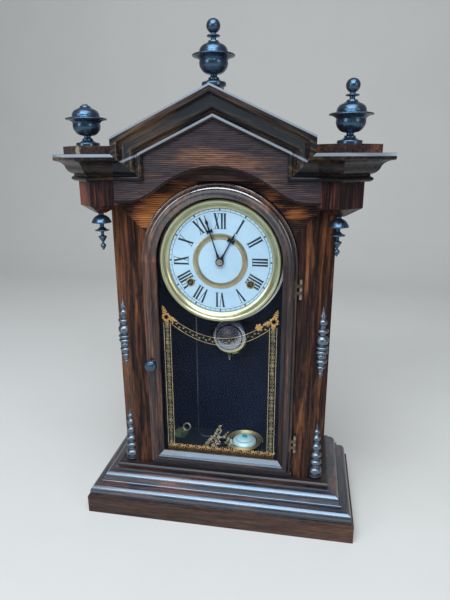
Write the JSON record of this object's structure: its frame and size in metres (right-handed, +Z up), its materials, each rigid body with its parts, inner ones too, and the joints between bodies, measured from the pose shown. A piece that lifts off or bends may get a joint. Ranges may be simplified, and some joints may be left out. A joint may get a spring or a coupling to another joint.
{
  "type": "shelf clock",
  "caption": "Gabled wooden shelf clock with turned finials and drops, arched glazed door, round dial, two-train striking movement, rear pendulum and coil gong.",
  "frame": {"origin": "middle of the underside of the base", "axes": "+Z up, -Y to the front where the door is, +X to the right seen from the front"},
  "size_m": [0.3752, 0.1892, 0.5928],
  "materials": {
    "rosewood_veneer": "french polish",
    "softwood": "bare, aged",
    "ebonised_wood": "gloss black",
    "brass": "polished, aged",
    "steel": "satin",
    "blued_steel": "blued",
    "nickel": "polished",
    "dial_paint": "satin white",
    "clear_glass": "clear"
  },
  "bodies": {
    "case": {"base_board": "rosewood_veneer", "base_moulding": "rosewood_veneer", "case_floor": "rosewood_veneer", "case_sides": "rosewood_veneer", "corner_posts": "rosewood_veneer", "front_stiles": "rosewood_veneer", "front_arch_board": "rosewood_veneer", "front_bottom_rail": "rosewood_veneer", "back_board": "softwood", "crown_board": "rosewood_veneer", "frieze_board": "rosewood_veneer", "gable_block": "softwood", "gable_mouldings": "rosewood_veneer", "cornices": "rosewood_veneer", "blocking_courses": "rosewood_veneer", "corner_blocks": "rosewood_veneer", "corner_drops": "ebonised_wood", "finial_left": "ebonised_wood", "finial_centre": "ebonised_wood", "finial_right": "ebonised_wood", "split_turnings": "ebonised_wood", "hinge_frame_leaves": "brass", "hinge_pins": "steel", "dial_pan": "steel", "dial_face": "dial_paint", "dial_bezel": "brass", "dial_inner_ring": "brass", "winding_grommets": "brass", "movement_plates": "brass", "movement_pillars": "steel", "mainsprings": "steel", "gong_coil": "steel", "gong_dome": "nickel", "winding_key": "brass"},
    "door": {"door_arch": "rosewood_veneer", "door_stile_left": "rosewood_veneer", "door_stile_right": "rosewood_veneer", "door_bottom_rail": "rosewood_veneer", "door_glass": "clear_glass", "hinge_door_leaves": "brass"},
    "knob": {"door_knob": "ebonised_wood"},
    "minute_arbor": {"minute_hand": "blued_steel", "hand_nut": "brass", "centre_wheel": "brass"},
    "hour_pipe": {"hour_hand": "blued_steel"},
    "minute_wheel_body": {"minute_wheel": "brass"},
    "time_great": {"time_great_wheel": "brass"},
    "time_second": {"time_second_wheel": "brass"},
    "third": {"third_wheel": "brass"},
    "escape": {"escape_wheel": "brass"},
    "anchor": {"anchor_crutch": "steel"},
    "time_winding": {"time_winding_arbor": "steel"},
    "strike_winding": {"strike_winding_arbor": "steel"},
    "strike_great": {"strike_great_wheel": "brass"},
    "strike_second": {"strike_second_wheel": "brass"},
    "fly": {"strike_fly": "brass"},
    "pendulum": {"pendulum_rod": "steel", "pendulum_bob": "brass"},
    "nut": {"rating_nut": "brass"},
    "hammer": {"strike_hammer": "steel"}
  },
  "joints": [
    {"name": "door_hinge", "type": "hinge", "parent": "case", "child": "door", "pos_m": [0.097, -0.0261, 0.2], "axis": [0, 0, 1], "range_deg": [0, 110]},
    {"name": "latch_turn", "type": "hinge", "parent": "door", "child": "knob", "pos_m": [-0.08433, -0.02, 0.2093], "axis": [0, 1, 0], "range_deg": [-90, 0]},
    {"name": "minute_turn", "type": "hinge", "parent": "case", "child": "minute_arbor", "pos_m": [0, 0.027, 0.34], "axis": [0, 1, 0], "continuous": true},
    {"name": "hour_turn", "type": "hinge", "parent": "case", "child": "hour_pipe", "pos_m": [0, -0.007, 0.34], "axis": [0, 1, 0], "continuous": true},
    {"name": "minute_wheel_turn", "type": "hinge", "parent": "case", "child": "minute_wheel_body", "pos_m": [0.012, 0.004, 0.34], "axis": [0, 1, 0], "continuous": true},
    {"name": "time_great_turn", "type": "hinge", "parent": "case", "child": "time_great", "pos_m": [0.037, 0.034, 0.313], "axis": [0, 1, 0], "continuous": true},
    {"name": "time_second_turn", "type": "hinge", "parent": "case", "child": "time_second", "pos_m": [0.02556, 0.027, 0.34138], "axis": [0, 1, 0], "continuous": true},
    {"name": "third_turn", "type": "hinge", "parent": "case", "child": "third", "pos_m": [-0.01301, 0.027, 0.35981], "axis": [0, -1, 0], "continuous": true},
    {"name": "escape_turn", "type": "hinge", "parent": "case", "child": "escape", "pos_m": [0, 0.027, 0.374], "axis": [0, 1, 0], "continuous": true},
    {"name": "pendulum_swing", "type": "hinge", "parent": "case", "child": "pendulum", "pos_m": [0, 0.056, 0.391], "axis": [0, 1, 0], "range_deg": [-4, 4]},
    {"name": "anchor_rock", "type": "hinge", "parent": "case", "child": "anchor", "pos_m": [0, 0.037, 0.391], "axis": [0, 1, 0], "range_deg": [-4, 4]},
    {"name": "rating_nut_turn", "type": "hinge", "parent": "pendulum", "child": "nut", "pos_m": [0, 0.056, 0.1895], "axis": [0, 0, 1], "continuous": true},
    {"name": "time_winding_turn", "type": "hinge", "parent": "case", "child": "time_winding", "pos_m": [0.037, 0.01, 0.313], "axis": [0, 1, 0], "continuous": true},
    {"name": "strike_winding_turn", "type": "hinge", "parent": "case", "child": "strike_winding", "pos_m": [-0.037, 0.01, 0.313], "axis": [0, 1, 0], "continuous": true},
    {"name": "strike_great_turn", "type": "hinge", "parent": "case", "child": "strike_great", "pos_m": [-0.037, 0.034, 0.313], "axis": [0, 1, 0], "continuous": true},
    {"name": "strike_second_turn", "type": "hinge", "parent": "case", "child": "strike_second", "pos_m": [-0.02556, 0.027, 0.34138], "axis": [0, 1, 0], "continuous": true},
    {"name": "fly_turn", "type": "hinge", "parent": "case", "child": "fly", "pos_m": [-0.04223, 0.027, 0.35101], "axis": [0, 1, 0], "continuous": true},
    {"name": "hammer_swing", "type": "hinge", "parent": "case", "child": "hammer", "pos_m": [-0.0435, 0.0405, 0.3], "axis": [0, 1, 0], "range_deg": [0, 4], "stiffness_Nm_per_rad": 0.0072, "springref_deg": -20.05}
  ],
  "couplings": [
    {"joint": "minute_turn", "follows": "third_turn", "ratio": 0.097222},
    {"joint": "hour_turn", "follows": "third_turn", "ratio": 0.0081019},
    {"joint": "minute_wheel_turn", "follows": "third_turn", "ratio": -0.032407},
    {"joint": "time_second_turn", "follows": "third_turn", "ratio": -0.013889},
    {"joint": "time_great_turn", "follows": "third_turn", "ratio": 0.0018519},
    {"joint": "escape_turn", "follows": "third_turn", "ratio": 10},
    {"joint": "strike_second_turn", "follows": "strike_great_turn", "ratio": -7.5},
    {"joint": "fly_turn", "follows": "strike_great_turn", "ratio": 51.429},
    {"joint": "anchor_rock", "follows": "pendulum_swing", "ratio": 1}
  ]
}
